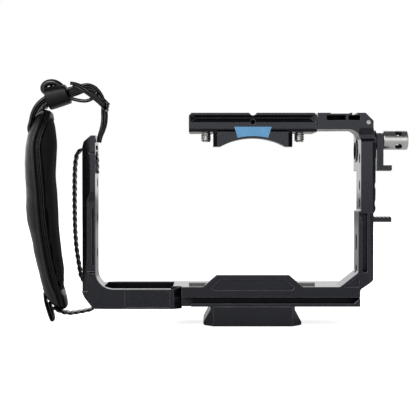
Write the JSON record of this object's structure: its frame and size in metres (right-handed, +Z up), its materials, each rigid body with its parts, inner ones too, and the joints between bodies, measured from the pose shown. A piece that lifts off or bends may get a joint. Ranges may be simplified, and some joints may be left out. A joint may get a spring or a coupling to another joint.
{
  "type": "camera cage",
  "caption": "Camera cage with a quick-release foot, top plate, sliding cable clamp and a leather hand strap on the grip side.",
  "frame": {"origin": "centre of the underside of the quick-release plate, on the camera screw's axis", "axes": "+X to the cable clamp side, +Y away from the lens, +Z up"},
  "size_m": [0.1964, 0.0536, 0.1258],
  "materials": {
    "anodised": "satin black anodised",
    "blue_plate": "satin light blue",
    "steel": "bright turned",
    "dark_steel": "black oxide",
    "rubber": "matte",
    "leather": "semi-gloss black",
    "lining": "matte black microfibre",
    "webbing": "braided black"
  },
  "bodies": {
    "cage": {"cage_frame": "anodised", "grip_arm": "anodised", "top_plate": "anodised", "lens_saddle": "anodised", "nameplate": "blue_plate", "saddle_screws": "dark_steel", "bracket_screws": "dark_steel", "quick_release_plate": "anodised", "release_screws": "dark_steel", "base_pads": "rubber", "grip_screws": "dark_steel", "clamp_guide": "anodised", "lower_jaw": "anodised", "strap_pad": "leather", "strap_lining": "lining", "strap_piping": "leather", "strap_webbing": "webbing", "strap_keeper": "leather", "strap_lace_outer": "leather", "strap_lace_inner": "leather", "strap_lace_bight": "leather", "strap_lace_tail": "leather", "strap_lace_drop": "leather", "strap_knot": "leather", "strap_top_loop": "leather", "strap_tail": "leather", "strap_tab": "leather", "strap_rivets": "steel", "corner_pin": "steel"},
    "jaw": {"clamp_jaw": "anodised"},
    "knob": {"clamp_knob": "steel"},
    "left_top_screw": {"top_screw_left": "steel"},
    "right_top_screw": {"top_screw_right": "steel"},
    "tripod_screw": {"camera_screw": "steel"}
  },
  "joints": [
    {"name": "jaw_slide", "type": "slide", "parent": "cage", "child": "jaw", "axis": [0, 0, 1], "range_m": [0, 0.0078]},
    {"name": "knob_turn", "type": "hinge", "parent": "cage", "child": "knob", "pos_m": [0.07, -0.01, 0.0946], "axis": [1, 0, 0], "continuous": true},
    {"name": "left_top_screw_turn", "type": "hinge", "parent": "cage", "child": "left_top_screw", "pos_m": [-0.02375, -0.015, 0.1], "axis": [0, 0, 1], "continuous": true},
    {"name": "right_top_screw_turn", "type": "hinge", "parent": "cage", "child": "right_top_screw", "pos_m": [0.02375, -0.015, 0.1], "axis": [0, 0, 1], "continuous": true},
    {"name": "tripod_screw_turn", "type": "hinge", "parent": "cage", "child": "tripod_screw", "pos_m": [0, 0, 0.015], "axis": [0, 0, 1], "continuous": true}
  ]
}
